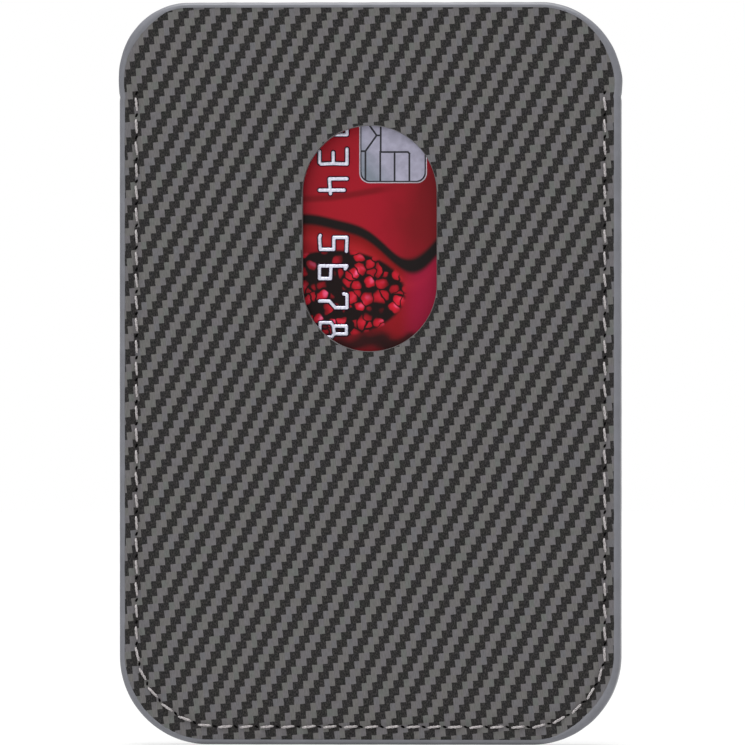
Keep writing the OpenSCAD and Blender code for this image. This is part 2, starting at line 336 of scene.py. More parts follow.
# %% The twill rule
column_width = 0.67
row_height = 0.955
weave_turn = math.radians(5.25)
weave_corner = (-20.59, -26.5)
print("a crossing:", column_width, "x", row_height)


def twill(column, row):
    """Which yarn is on top of a weave, from sockets that count columns and rows.

    Returns 1 on a dark upright yarn, the whole column and row, and the places from 0 to 1 across the yarn
    and from 0 to 2 along its float."""
    whole_column = calc("FLOOR", column)
    whole_row = calc("FLOOR", row)
    column_part = column - whole_column
    row_part = row - whole_row
    step = whole_column - whole_row - 1.0
    turn = step % 4.0
    dark = calc("LESS_THAN", turn, 1.5)
    light = 1.0 - dark
    along_dark = 1.0 - turn + row_part
    along_light = turn - 2.0 + column_part
    across = dark * column_part + light * row_part
    along = dark * along_dark + light * along_light
    return dark, whole_column, whole_row, across, along


# %% [markdown]
# The relief is a grid whose squares line up with the crossings, two by two squares a crossing. Geometry
# Nodes suit it, because the height of each point follows the rule. A yarn is round across and bows up in
# the middle of its float, so its height is one sine across times another along. The grid has its middle on
# a crossing near the wallet's middle, and the last node stands it up in the front plane.

# %% A node group for the embossed sheet
def geometry_tree(name, **labels):
    """Begins a geometry tree. Labels are lists of input names by the kind of their socket."""
    Desk.tree = bpy.data.node_groups.new(name, "GeometryNodeTree")
    face = Desk.tree.interface
    for way in ("INPUT", "OUTPUT"):
        face.new_socket(name="Geometry", in_out=way, socket_type="NodeSocketGeometry")
    for kind, names in labels.items():
        for label in names:
            face.new_socket(name=label, in_out="INPUT", socket_type="NodeSocket" + kind)
    return add("NodeGroupInput").outputs


def end_tree(geometry, finish_to_use):
    """Ends a geometry tree: real copies with a finish on them."""
    whole = add("GeometryNodeRealizeInstances", {"Geometry": geometry})
    coloured = add("GeometryNodeSetMaterial", {"Geometry": whole, "Material": finish_to_use})
    add("NodeGroupOutput", {0: coloured})
    print(Desk.tree.name, "nodes:", len(Desk.tree.nodes))
    return Desk.tree


def run_tree(thing, tree, **values):
    """Runs a geometry tree on an object and keeps the result as a plain mesh object of the same name."""
    modifier = thing.modifiers.new("nodes", "NODES")
    modifier.node_group = tree
    for item in tree.interface.items_tree:
        key = item.name.replace(" ", "_").lower()
        if item.in_out == "INPUT" and key in values:
            modifier[item.identifier] = values[key]
    mesh = finished_mesh(thing)
    name = thing.name
    bpy.data.objects.remove(thing)
    return add_object(name, mesh)


def embossed_sheet_tree():
    """A flat grid with the twill's relief, stood up in its plane."""
    given = geometry_tree("embossed sheet", Int=["Columns", "Rows", "First Column", "First Row"],
                          Float=["Column Width", "Row Height", "Relief"], Vector=["Turn", "Middle"],
                          Material=["Finish"])
    grid = add("GeometryNodeMeshGrid", {
        "Size X": given["Columns"] * given["Column Width"],
        "Size Y": given["Rows"] * given["Row Height"],
        "Vertices X": given["Columns"] * 2.0 + 1.0,
        "Vertices Y": given["Rows"] * 2.0 + 1.0,
    })
    place = split(add("GeometryNodeInputPosition"))
    column = place[0] / given["Column Width"] + given["First Column"]
    row = place[1] / given["Row Height"] + given["First Row"]
    across, along = twill(column, row)[3:]
    bow = calc("SINE", along * (math.pi / 2))
    round_yarn = calc("SINE", across * math.pi)
    lift = add("ShaderNodeCombineXYZ", {2: bow * round_yarn * given["Relief"]})
    raised = add("GeometryNodeSetPosition", {"Geometry": grid, "Offset": lift})
    turned = {"Geometry": raised, "Rotation": given["Turn"], "Translation": given["Middle"]}
    return end_tree(add("GeometryNodeTransform", turned), given["Finish"])


sheet_tree = embossed_sheet_tree()

# %% [markdown]
# ## The colour of the front skin
# The print has two greys. Up close the light crossings are even, with faint upright streaks and a slight
# warm or cool tint from yarn to yarn, and the dark crossings are mottled like carbon fibre. The seam's
# thread pulls the skin down, and the pulled strip gets a little painted shade, which a mesh attribute
# called seam tells the shader: it is 1 on the seam and falls to 0 beside it.

# %% Front skin material
def twill_skin():
    begin("twill skin", 0.5, Specular_IOR_Level=0.18)
    source = add("ShaderNodeTexCoord").outputs["Object"]
    layout = {"Location": (weave_corner[0] * MM, 0.0, weave_corner[1] * MM),
              "Rotation": (0.0, -weave_turn, 0.0), "Scale": (column_width * MM, MM, row_height * MM)}
    lattice = add("ShaderNodeMapping", {"Vector": source, **layout}, vector_type="TEXTURE")
    sway = add("ShaderNodeTexNoise", {"Vector": lattice, "Scale": 2.3, "Detail": 1.0}).outputs["Color"]
    swayed = vectors("MULTIPLY_ADD", sway, (0.14, 0.0, 0.1), lattice)
    place = split(swayed)
    column_place = place[0] - 0.07
    row_place = place[2] - 0.05
    dark, column, row = twill(column_place, row_place)[:3]
    chance = noise(add("ShaderNodeCombineXYZ", {0: column, 1: row}), 0.53, 1.0)
    streaks = noise(vectors("MULTIPLY", lattice, (6.5, 0.0, 1.3)), 1.0, 3.0, 0.6)
    speckle = noise(vectors("MULTIPLY", lattice, (4.6, 0.0, 3.4)), 1.0, 3.0, 0.7)
    light_tone = ramp(streaks, (0.36, 95, 94, 94), (0.64, 109, 108, 108))
    dark_tone = ramp(speckle, (0.36, 10, 10, 11), (0.5, 33, 32, 32), (0.64, 62, 60, 58))
    tint = ramp(chance, (0.3, 0.93, 0.99, 0.94, 1), (0.45, 1.01, 0.99, 0.96, 1), (0.55, 1.02, 0.98, 1.03, 1),
                (0.7, 0.98, 0.99, 1.05, 1), tone=lambda *channels: channels)
    printed = mix(dark, light_tone, dark_tone)
    tinted = mix(1.0, printed, tint, "MULTIPLY")
    # Painted shade: the skin along the seam, where the thread pulls it down, is darkened a little.
    seam = add("ShaderNodeAttribute", attribute_name="seam").outputs["Fac"]
    seam_shaded = mix(seam * 0.14, tinted, screen(40, 32, 32))
    # Painted shade: points more than 0.18 mm below the face, down the needle holes and cut walls, are painted
    # near black from 0.3 mm.
    hole_shade_depth = split(object_mm())[1] + thickness
    paint(Base_Color=mix(smooth(hole_shade_depth, 0.18, 0.3), seam_shaded, screen(8, 7, 7)))
    paint(Roughness=speckle * 0.1 + (dark * -0.08 + 0.56))
    return bump(dark * speckle + streaks * 0.5, 0.02, 0.5)


skin_finish = twill_skin()
print(skin_finish.name, "nodes:", len(skin_finish.node_tree.nodes))

# %% [markdown]
# ## Paths and the seam
# The outline and the seam are both a U with round corners. The edge paint along the mouth is the same U
# upside down. So one function gives places along a U and the direction that points outwards there.

# %% The U path
def u_path(half, open_z, closed_z, left_radius, spacing, right_radius=None):
    """Places (x, z) and outward directions (x, z) along a U, from its left open end to its right one."""
    way = 1 if closed_z > open_z else -1
    radii = {-1: left_radius, 1: right_radius or left_radius}
    lengths = {side: abs(closed_z - open_z) + half + (math.pi / 2 - 2) * r for side, r in radii.items()}
    total = lengths[-1] + lengths[1]
    places, normals = [], []
    for s in np.linspace(0, total, round(total / spacing) + 1):
        side = -1 if s <= lengths[-1] else 1
        s = s if side < 0 else total - s
        radius = radii[side]
        straight = abs(closed_z - open_z) - radius
        bend = math.pi / 2 * radius
        if s < straight:
            place, normal = (half, open_z + way * s), (1, 0)
        elif s < straight + bend:
            angle = (s - straight) / radius
            normal = (math.cos(angle), way * math.sin(angle))
            place = (half - radius + radius * normal[0], closed_z - way * radius + radius * normal[1])
        else:
            place, normal = (half - radius - (s - straight - bend), closed_z), (0, way)
        places.append((side * place[0], place[1]))
        normals.append((side * normal[0], normal[1]))
    return np.array(places), np.array(normals), total


thread_width = 0.4
stitch_pitch = 2.74
stitch_length = 1.95
needle_low, needle_high = box_mm("needle_thread")
seam_half = needle_high.x - thread_width / 2
seam_bottom = needle_low.z + thread_width / 2 + 0.2
seam_top = joined_z + 0.45
seam_radius, seam_right_radius = 10.65, 10.0
seam_shift = 0.1
seam_places, _, seam_length = u_path(seam_half, seam_top, seam_bottom, seam_radius, 0.25, seam_right_radius)
seam_places[:, 0] += seam_shift
stitch_count = round(seam_length / stitch_pitch)
foot_count, foot_step = 14, 2.652
side_step = (seam_length / 2 - foot_count * foot_step) / (stitch_count / 2 - foot_count)
print("seam", round(seam_length, 1), "mm,", stitch_count, "stitches of", foot_step, "or", round(side_step, 2))


def seam_at(steps):
    """Places (x, z) on the seam, with the steps counted in stitches from the middle of the foot."""
    far = np.abs(steps)
    reach = far * foot_step + np.maximum(far - foot_count, 0) * (side_step - foot_step)
    lengths = np.linspace(-seam_length / 2, seam_length / 2, len(seam_places))
    return np.column_stack([np.interp(np.sign(steps) * reach, lengths, seam_places[:, k]) for k in (0, 1)])


def seam_distance(x, z):
    """How far points lie from the seam's line, in millimetres."""
    radius = np.where(x > seam_shift, seam_right_radius, seam_radius)
    x = np.abs(x - seam_shift)
    above = np.hypot(x - seam_half, np.maximum(z - seam_top, 0))
    corner = np.abs(np.hypot(x - seam_half + radius, z - seam_bottom - radius) - radius)
    level = np.abs(z - seam_bottom)
    in_corner = x > seam_half - radius
    return np.where(z > seam_bottom + radius, above, np.where(in_corner, corner, level))


# %% [markdown]
# ## Thread and needle holes
# A lockstitch shows one short length of thread after another. Each dives into a needle hole at both ends
# and lies at a slight slant, because the needle's twist turns it. A stitch here is three plies that wind
# around each other. It could be copied by a loop, but a row that follows a path is what Geometry Nodes are
# for: sample the path, turn a copy to its direction, add the slant and a little chance. The machine takes
# shorter steps round the foot than along the sides. The same tree sets out the tools for the needle holes.

# %% A node group for a sewn row
def sewn_row_tree():
    """Copies of a shape along a path, turned to it."""
    sizes = ["Foot Count", "Foot Step", "Side Step", "Slant", "Slant Chance", "Size Chance"]
    given = geometry_tree("sewn row", Object=["Shape"], Int=["Count", "Seed"], Float=sizes, Vector=["Up"],
                          Material=["Finish"])
    length = add("GeometryNodeCurveLength", {0: given["Geometry"]}).outputs[0]
    half_count = (given["Count"] - 1.0) / 2.0
    from_middle = add("GeometryNodeInputIndex").outputs[0] - half_count
    far = abs(from_middle)
    beyond = calc("MAXIMUM", far - given["Foot Count"], 0.0)
    extra = beyond * (given["Side Step"] - given["Foot Step"])
    reach = far * given["Foot Step"] + extra
    along = calc("SIGN", from_middle) * reach + length * 0.5
    sampled = add("GeometryNodeSampleCurve", {"Curves": given["Geometry"], "Length": along}, mode="LENGTH")
    spaced = add("GeometryNodePoints", {"Count": given["Count"], "Position": sampled.outputs["Position"]})
    align = "FunctionNodeAlignRotationToVector"
    level = add(align, {"Vector": sampled.outputs["Tangent"]}, axis="X")
    upright = add(align, {"Rotation": level, "Vector": given["Up"]}, axis="Z", pivot_axis="X")
    shape = add("GeometryNodeObjectInfo", {"Object": given["Shape"]}).outputs["Geometry"]
    copies = add("GeometryNodeInstanceOnPoints", {"Points": spaced, "Instance": shape, "Rotation": upright})
    slant = given["Slant"] + chance_value(given["Slant Chance"] * -1.0, given["Slant Chance"], given["Seed"])
    turn = add("ShaderNodeCombineXYZ", {2: slant})
    turned = add("GeometryNodeRotateInstances", {"Instances": copies, "Rotation": turn})
    growth = chance_value(1.0 - given["Size Chance"], 1.0 + given["Size Chance"], given["Seed"] + 1.0)
    grown = add("GeometryNodeScaleInstances", {"Instances": turned, "Scale": growth})
    return end_tree(grown, given["Finish"])


def chance_value(low, high, seed):
    """A random number for each copy."""
    made = add("FunctionNodeRandomValue", {"Min": low, "Max": high, "Seed": seed})
    return next(s for s in made.outputs if s.type == "VALUE" and s.enabled)


row_tree = sewn_row_tree()

# %% The shapes that the row repeats
def thread_stitch(name, length, lift, dive, plies=3, sides=4, rings=9, turns=0.9):
    """One stitch along X with Z up: plies wound around each other that dive at both ends."""
    winding = thread_width / 2 * 0.43
    ply = thread_width / 2 * 0.48
    points, faces = [], []
    for k in range(plies):
        first = len(points)
        for j in range(rings):
            t = j / (rings - 1)
            edge = abs(2 * t - 1)
            height = lift * (1 - edge**2) - dive * edge**5
            slim = 1 - 0.5 * edge**3
            phase = 2 * math.pi * (turns * t + k / plies)
            middle_y = winding * slim * math.cos(phase)
            middle_z = height + winding * slim * math.sin(phase)
            for i in range(sides):
                angle = 2 * math.pi * (i / sides + t)
                y = middle_y + ply * slim * math.cos(angle)
                z = middle_z + ply * slim * math.sin(angle)
                points.append((length * (t - 0.5), y, z))
        faces += [tuple(first + i for i in face) for face in loft_faces(rings, sides)]
    made = new_object(name, points, faces)
    turn_outwards(made)
    return made


def needle_cone(name, width, stretch, depth, above, sides=10):
    """The tool that cuts a needle hole: wide at the skin and narrow below, longer along the seam."""
    rings = []
    for z, share in ((above, 1.25), (0.0, 1.0), (-depth * 0.5, 0.62), (-depth, 0.45)):
        angles = [2 * math.pi * i / sides for i in range(sides)]
        radius = width / 2 * share
        rings.append([(stretch * radius * math.cos(a), radius * math.sin(a), z) for a in angles])
    return loft(name, rings)


def sew(name, shape, count, depth, up, finish_to_use, slant=0.0, slant_chance=0.0, size_chance=0.0, seed=1):
    """Lays copies of a shape along the seam, at a depth from the back face."""
    curve = bpy.data.curves.new(name, "CURVE")
    curve.dimensions = "3D"
    line = curve.splines.new("POLY")
    line.points.add(len(seam_places) - 1)
    for point, (x, z) in zip(line.points, seam_places):
        point.co = (x * MM, -depth * MM, z * MM, 1)
    made = run_tree(add_object(name, curve), row_tree, shape=shape, count=count, seed=seed,
                    foot_count=float(foot_count), foot_step=foot_step * MM, side_step=side_step * MM,
                    slant=math.radians(slant), slant_chance=math.radians(slant_chance),
                    size_chance=size_chance, up=up, finish=finish_to_use)
    bpy.data.objects.remove(shape)
    return made


# %% [markdown]
# ## The front skin
# The embossed sheet becomes a leather blank: its rim is pulled down to a flat underside, the outline and
# the window are punched out, and the needle holes are cut. The skin sinks under each stitch and most at
# the holes, where the thread pulls. Booleans do the punching, because the tools are closed shapes and
# the Manifold solver is quick and exact on them.

# %% Outlines
def outline_points(inset, spacing=0.45):
    """The wallet's outline pulled in by the inset, as one closed loop of (x, z)."""
    half = half_width - inset
    upper, _, _ = u_path(half, joined_z, top_z - inset, top_corner - inset, spacing, top_right_corner - inset)
    lower, _, _ = u_path(half, joined_z, bottom_z + inset, bottom_corner - inset, spacing)
    return np.vstack([upper, lower[::-1][1:-1]])


def prism(name, loop, depth_from, depth_to, materials=()):
    """A straight punch through the loop, between two depths from the back face."""
    rings = [[(x, -depth, z) for x, z in loop] for depth in (depth_from, depth_to)]
    return loft(name, rings, materials)


window_low, window_high = box_mm("window_edge_coat")
window_coat = 0.12
window_radius = window_high.x - window_coat
window_straight = window_high.z - window_low.z - 2 * window_high.x


def window_points(grow, segments=48):
    """The thumb window's loop, made larger all round."""
    radius = window_radius + grow
    upper = [(radius * math.cos(a), window_straight / 2 + radius * math.sin(a))
             for a in np.linspace(0, math.pi, segments)]
    lower = [(-x, -z) for x, z in upper]
    return np.array(upper + lower)


print("window", round(2 * window_radius, 2), "x", round(window_straight + 2 * window_radius, 2))

# %% Front skin
skin_back_depth = -box_mm("front_skin")[1].y
relief = 0.035
skin_inset = 0.45
sheet_cells = 110


def embossed_sheet(name):
    """The raw sheet: the twill's relief over the whole front, lined up with the weave's corner."""
    middle_z = (top_z + bottom_z) / 2
    cos_turn, sin_turn = math.cos(weave_turn), math.sin(weave_turn)
    x, z = -weave_corner[0], middle_z - weave_corner[1]
    first_column = round((x * cos_turn + z * sin_turn) / column_width)
    first_row = round((z * cos_turn - x * sin_turn) / row_height)
    u, v = first_column * column_width, first_row * row_height
    middle = (weave_corner[0] + u * cos_turn - v * sin_turn, -thickness,
              weave_corner[1] + u * sin_turn + v * cos_turn)
    blank = new_object(name, [(0, 0, 0)], [])
    return run_tree(blank, sheet_tree, columns=sheet_cells, rows=sheet_cells, first_column=first_column,
                    first_row=first_row, column_width=column_width * MM, row_height=row_height * MM,
                    relief=relief * MM,
                    turn=(math.pi / 2, -weave_turn, 0.0), middle=[c * MM for c in middle], finish=skin_finish)


def sink_at_seam(co, facing, groove, pull, groove_width=0.42, pull_width=0.5, reach=2.0):
    """Lowers points near the seam into the skin. Facing is the sign of y that points out of the skin."""
    distance = seam_distance(co[:, 0], co[:, 2])
    holes = seam_at(np.arange(stitch_count + 1) - stitch_count / 2)
    near = distance < reach
    to_hole = np.full(len(co), FAR)
    gaps = co[near][:, None, [0, 2]] - holes[None]
    to_hole[near] = np.hypot(gaps[..., 0], gaps[..., 1]).min(1)
    drop = groove * np.exp(-((distance / groove_width) ** 2)) + pull * np.exp(-((to_hole / pull_width) ** 2))
    co[:, 1] -= facing * drop
    return co


def close_below(thing, depth):
    """Pulls the sheet's rim to a flat plane at a depth and closes it, so that the sheet is a solid."""
    with open_mesh(thing) as shell:
        rim = [edge for edge in shell.edges if edge.is_boundary]
        set_depth(bmesh.ops.extrude_edge_only(shell, edges=rim)["geom"], depth)
        open_edges = [edge for edge in shell.edges if edge.is_boundary]
        bmesh.ops.holes_fill(shell, edges=open_edges, sides=0)


def mesh_points(thing):
    """A mesh's points in millimetres."""
    co = np.empty(len(thing.data.vertices) * 3)
    thing.data.vertices.foreach_get("co", co)
    return co.reshape(-1, 3) / MM


def set_mesh_points(thing, co):
    """Moves a mesh's points, given in millimetres."""
    thing.data.vertices.foreach_set("co", (co * MM).astype(np.float32).ravel())
    thing.data.update()


def mark_seam(thing, reach):
    """Writes how near each point is to the seam into the mesh attribute called seam."""
    co = mesh_points(thing)
    near = np.exp(-((seam_distance(co[:, 0], co[:, 2]) / reach) ** 2))
    attribute = thing.data.attributes.new("seam", "FLOAT", "POINT")
    attribute.data.foreach_set("value", near.astype(np.float32))


skin = embossed_sheet("twill_skin")
set_mesh_points(skin, sink_at_seam(mesh_points(skin), facing=-1, groove=0.09, pull=0.12))
close_below(skin, skin_back_depth - 0.5)
outline_punch = prism("punch", outline_points(skin_inset), skin_back_depth, thickness + 1)
boolean(skin, outline_punch, "INTERSECT")
window_punch = prism("punch", window_points(grow=0.04), skin_back_depth - 1, thickness + 1)
boolean(skin, window_punch, "DIFFERENCE")
cone = needle_cone("cone", width=0.4, stretch=1.9, depth=0.6, above=0.4)
hole_tool = sew("holes", cone, stitch_count + 1, thickness, (0, -1, 0), skin_finish,
                slant=-24, slant_chance=6, seed=6)
boolean(skin, hole_tool, "DIFFERENCE")
mark_seam(skin, reach=0.5)
place_piece(skin, "wallet", "woven_skin", "front_skin", crease=40)

# %% [markdown]
# ## Thread
# The thread is twisted polyester in a light grey. Fine fibres run along it, so its shine is broken up. A
# noise that is stretched does that, and a little sheen gives the soft edge of a fibre.

# %% Thread
def sewing_thread():
    begin("sewing thread", 0.55, Sheen_Weight=0.3, Sheen_Roughness=0.4, Specular_IOR_Level=0.3)
    fibres = noise(object_mm((9, 9, 9)), 1.0, 3.0, 0.6)
    patches = noise(object_mm(), 0.35, 1.0)
    tone = ramp(fibres, (0.36, 150, 143, 144), (0.5, 192, 186, 187), (0.64, 222, 217, 217))
    paint(Base_Color=mix(patches * 0.3, tone, screen(178, 172, 172)))
    return bump(fibres, 0.03, 0.6)


thread_finish = sewing_thread()
needle_stitch = thread_stitch("stitch", stitch_length, lift=0.12, dive=0.34)
front_stitches = sew("front_stitches", needle_stitch, stitch_count, thickness + 0.02, (0, -1, 0),
                     thread_finish, slant=6, slant_chance=2.5, size_chance=0.04, seed=4)
place_piece(front_stitches, "wallet", "thread", "needle_thread")

bobbin_depth = thread_width / 2 - box_mm("bobbin_thread")[1].y
bobbin_stitch = thread_stitch("stitch", stitch_length - 0.1, lift=0.03, dive=0.3)
back_stitches = sew("back_stitches", bobbin_stitch, stitch_count, bobbin_depth, (0, 1, 0),
                    thread_finish, slant=-3, slant_chance=2.5, size_chance=0.04, seed=9)
place_piece(back_stitches, "wallet", "thread", "bobbin_thread")

# %% [markdown]
# ## Edge paint
# The raw edges of a leather good are closed with several coats of thick paint that set to a smooth, round
# bead with a satin shine. The bead laps over the skin by a hair, swells a little where the two leaves part
# and is never quite straight. So the bead is a loft of one rounded section along the U, with its width and
# height changed slightly from ring to ring. Along the mouth each leaf has a bead of its own.

# %% Edge paint material
def edge_paint(name, tone, dark_tone):
    begin(name, 0.42, Specular_IOR_Level=0.35, Coat_Weight=0.08, Coat_Roughness=0.3)
    cloud = noise(object_mm(), 0.45, 3.0)
    fine = noise(object_mm((7, 7, 7)), 1.0, 2.0)
    height = split(object_mm())[2]
    # Painted shade: the paint within half a millimetre of the wallet's foot, which faces the floor, is
    # darkened.
    foot_shade = 0.62 - smooth(height, bottom_z, bottom_z + 0.5) * 0.62
    painted = ramp(cloud, (0.3, *dark_tone), (0.7, *tone))
    paint(Base_Color=mix(foot_shade, painted, screen(44, 44, 46)), Roughness=fine * 0.14 + 0.36)
    strokes = noise(object_mm((2.2, 0.7, 2.2)), 1.0, 2.0)
    return bump(fine * 0.3 + strokes, 0.05, 0.35)


paint_finish = edge_paint("edge paint", (119, 120, 127), (110, 111, 117))
print(paint_finish.name, "nodes:", len(paint_finish.node_tree.nodes))

# %% Edge beads
# How far the bead laps over the skin: a pair is for the left and the right.
LAPS = {"sides": (0.72, 0.83), "top": 0.42, "foot": 0.6, "top corners": (0.5, 0.15),
        "foot corners": (0.1, 0.4)}
bead_round = 0.62
bead_crown = 0.04


def bead_section(width, back, front, swell, lap_back, lap_front):
    """The bead's closed section as (distance outwards from the outline, depth) pairs."""
    arc = np.radians(np.linspace(90, 0, 7))
    half = (front - back) / 2
    radius = min(bead_round, half * 0.98)
    face = [(-radius + radius * math.cos(a), front - radius + radius * math.sin(a)) for a in arc]
    mirrored = [(offset, front + back - depth) for offset, depth in reversed(face)]
    wall = [(0.0, back + half * share * 2) for share in (0.65, 0.5, 0.35)] if half > 2 else []
    outer = [(offset + (bead_crown + swell) * (1 - abs((depth - back - half) / half) ** 2.2), depth)
             for offset, depth in face + wall + mirrored]
    inner = width + 0.12
    fore = [(-inner, front - lap_front - 0.12), (-width, front - lap_front), (-width + 0.07, front - 0.02)]
    rear = [(-width + 0.07, back + 0.02), (-width, back + lap_back), (-inner, back + lap_back + 0.12)]
    return fore + outer + rear


def edge_bead(name, node, closed_z, radii, back, front, lap_back, lap_front):
    """Edge paint along a U of the outline, in place of a CAD node."""
    places, normals, total = u_path(half_width, joined_z, closed_z, radii[0], 0.4, radii[1])
    rings = []
    for k, ((x, z), (nx, nz)) in enumerate(zip(places, normals)):
        s = total * k / (len(places) - 1)
        wave = 0.010 * math.sin(s * 0.61) + 0.008 * math.sin(s * 1.73 + 1.0) + 0.005 * math.sin(s * 3.1 + 2.0)
        lap, corners = (LAPS["top"], LAPS["top corners"]) if nz > 0 else (LAPS["foot"], LAPS["foot corners"])
        which = 0 if nx < 0 else 1
        corner = 4 * nx * nx * nz * nz
        width = LAPS["sides"][which] * nx * nx + lap * nz * nz + corners[which] * corner + 1.2 * wave
        bulge = 0.11 * math.exp(-(((z - joined_z - 2.2) / 1.6) ** 2)) if nx * nx > 0.9 else 0.0
        notch = 0.09 * math.exp(-(((z - joined_z) / 0.3) ** 2))
        section = bead_section(width, back, front, wave, lap_back, lap_front)
        rings.append([(x + nx * (o + bulge - notch), -d, z + nz * o) for o, d in section])
    place_piece(loft(name, rings, [paint_finish]), "wallet", "edge_paint", node, crease=50)


proud = 0.06
lip = proud + 0.02
foot, mouth = (bottom_z, (bottom_corner, bottom_corner)), (top_z, (top_corner, top_right_corner))
overlap = 0.03
front = thickness + proud
edge_bead("side_edge_paint", "side_edge_coat", *foot, 0.0, front, 0.05, lip)
edge_bead("front_mouth_paint", "front_mouth_coat", *mouth, front_leaf_depth - overlap, front, 0.04, lip)
edge_bead("back_mouth_paint", "back_mouth_coat", *mouth, 0.0, back_leaf_depth + overlap, 0.05, 0.04)

# %% [markdown]
# ## The window's rim
# The window's cut wall is painted too, in a thin darker coat that stands a hair above the skin. It is a
# closed loft: the rings go round the window, and each ring is the section of the coat.

# %% Window rim
rim_back = front_leaf_depth - 0.02
rim_front = thickness + relief
rim_section = [(window_coat, rim_back + 0.1), (0.03, rim_back), (0.0, rim_back + 0.08),
               (0.0, rim_front - 0.14), (0.02, rim_front - 0.05), (0.05, rim_front),
               (0.088, rim_front - 0.02), (0.1, rim_front - 0.09), (0.08, rim_front - 0.2)]
rim_loops = [[(x, -depth, z) for x, z in window_points(grow)] for grow, depth in rim_section]
rim_rings = list(zip(*rim_loops))
rim_paint = edge_paint("window paint", (104, 103, 104), (84, 83, 84))
rim = loft("window_rim_paint", rim_rings, [rim_paint], close_rings=True)
place_piece(rim, "wallet", "window_paint", "window_edge_coat", crease=45)

# %% [markdown]
# ## The back skin
# The skin that lies on the phone is a matt synthetic leather with a fine pebble grain. The magnets behind
# it leave a faint raised ring and bar, and the bobbin thread sinks into a groove so that it can't scratch.
# A regular grid carries the ring, the groove and the pulled holes, and the grain is left to the shader.

# %% Back skin
def pebbled_leather(name, tone, pit_tone, scale):
    begin(name, 0.6, Specular_IOR_Level=0.3)
    place = object_mm()
    wander = noise(place, 1.3, 2.0)
    bent = vectors("ADD", place, add("ShaderNodeCombineXYZ", {0: wander, 2: wander}))
    cells = add("ShaderNodeTexVoronoi", {"Vector": bent, "Scale": scale}, feature="DISTANCE_TO_EDGE")
    pebble = smooth(cells.outputs["Distance"], 0.0, 0.28)
    cloud = noise(place, 0.12, 3.0)
    base = mix(pebble, pit_tone, tone)
    paint(Base_Color=mix(cloud * 0.35, base, pit_tone), Roughness=pebble * -0.16 + 0.7)
    fine = noise(place, 6.0, 2.0)
    return bump(fine * 0.2 + pebble, 0.05, 0.7)


back_finish = pebbled_leather("back leather", screen(74, 74, 77), screen(46, 46, 48), 2.1)


def back_skin(name):
    """A grid with the magnets' faint ring and the sewing groove, closed at its front side."""
    front_depth = -box_mm("back_skin")[0].y
    step = 0.5
    xs = np.arange(-half_width - 1, half_width + 1 + step, step)
    zs = np.arange(bottom_z - 1, top_z + 1 + step, step)
    co = np.array([(x, 0.0, z) for z in zs for x in xs])
    wide = len(xs)
    faces = [(j * wide + i, (j + 1) * wide + i, (j + 1) * wide + i + 1, j * wide + i + 1)
             for j in range(len(zs) - 1) for i in range(wide - 1)]
    bar_low, bar_high = box_mm("alignment_magnets")
    ring_outer, ring_inner = box_mm("ring_magnets")[1].x, 23.0
    from_middle = np.hypot(co[:, 0], co[:, 2])
    ring_middle, ring_half = (ring_outer + ring_inner) / 2, (ring_outer - ring_inner) / 2
    ring = np.clip((ring_half + 0.8 - np.abs(from_middle - ring_middle)) / 1.6, 0, 1)
    bar_gap = np.maximum(np.abs(co[:, 0]) - bar_high.x, np.abs(co[:, 2] - (bar_low.z + bar_high.z) / 2)
                         - (bar_high.z - bar_low.z) / 2)
    bar = np.clip((0.8 - bar_gap) / 1.6, 0, 1)
    raised = np.maximum(ring, bar)
    co[:, 1] = -0.05 + 0.045 * raised * raised * (3 - 2 * raised)
    co = sink_at_seam(co, facing=1, groove=0.1, pull=0.14)
    made = new_object(name, co, faces, [back_finish])
    close_below(made, front_depth + 0.4)
    boolean(made, prism("punch", outline_points(skin_inset), -1, front_depth), "INTERSECT")
    cone = needle_cone("cone", width=0.5, stretch=1.35, depth=0.5, above=0.4)
    holes = sew("holes", cone, stitch_count + 1, 0.0, (0, 1, 0), back_finish)
    boolean(made, holes, "DIFFERENCE")
    return made


place_piece(back_skin("leather_back"), "wallet", "back_leather", "back_skin", crease=40)

# %% [markdown]
# ## The card's print
# The card is a laminate: a white core, a printed film on each side and a clear film over the print. The
# print is a plain pattern of waves and beads in reds. A wave is the sum of a few sines and cosines, and
# the distance above or below it gives the bands. The beads are round spots in Voronoi cells, inside an
# oval under each wave. All this lies in one tile, which repeats over the card. Each row of tiles is
# shifted by half a tile from the one below, so that the repeat doesn't show.

# %% Card print
tile_wide, tile_high = 28.8, 46.0
print("print tile", tile_wide, "x", tile_high)
tile_middle = (-4.5, -4.0)
wave_start = -8.0
wave_level = 0.57
wave_terms = [(2.34, -0.96), (-0.86, 0.67), (0.42, -0.18)]
beads_middle = (-4.5, -6.9)
beads_half = (9.0, 5.5)


def print_tile():
    """Places across and up inside the print's repeating tile, in millimetres."""
    place = split(object_mm())
    up = place[2] - (tile_middle[1] - tile_high / 2)
    tile_row = calc("FLOOR", up / tile_high)
    tile_up = up - tile_row * tile_high + tile_middle[1] - tile_high / 2
    slid = tile_row * (tile_wide / 2) + place[0]
    from_left = slid - (tile_middle[0] - tile_wide / 2)
    tile_across = from_left % tile_wide + tile_middle[0] - tile_wide / 2
    angle = (tile_across - wave_start) * (2 * math.pi / tile_wide)
    return tile_across, tile_up, angle


def wave_height(angle):
    """Height of the wave's middle line: a few sines and cosines of the angle along the tile."""
    height = wave_level
    for k, (cosine, sine) in enumerate(wave_terms, 1):
        turn = angle * float(k)
        height = calc("COSINE", turn) * cosine + height
        height = calc("SINE", turn) * sine + height
    return height


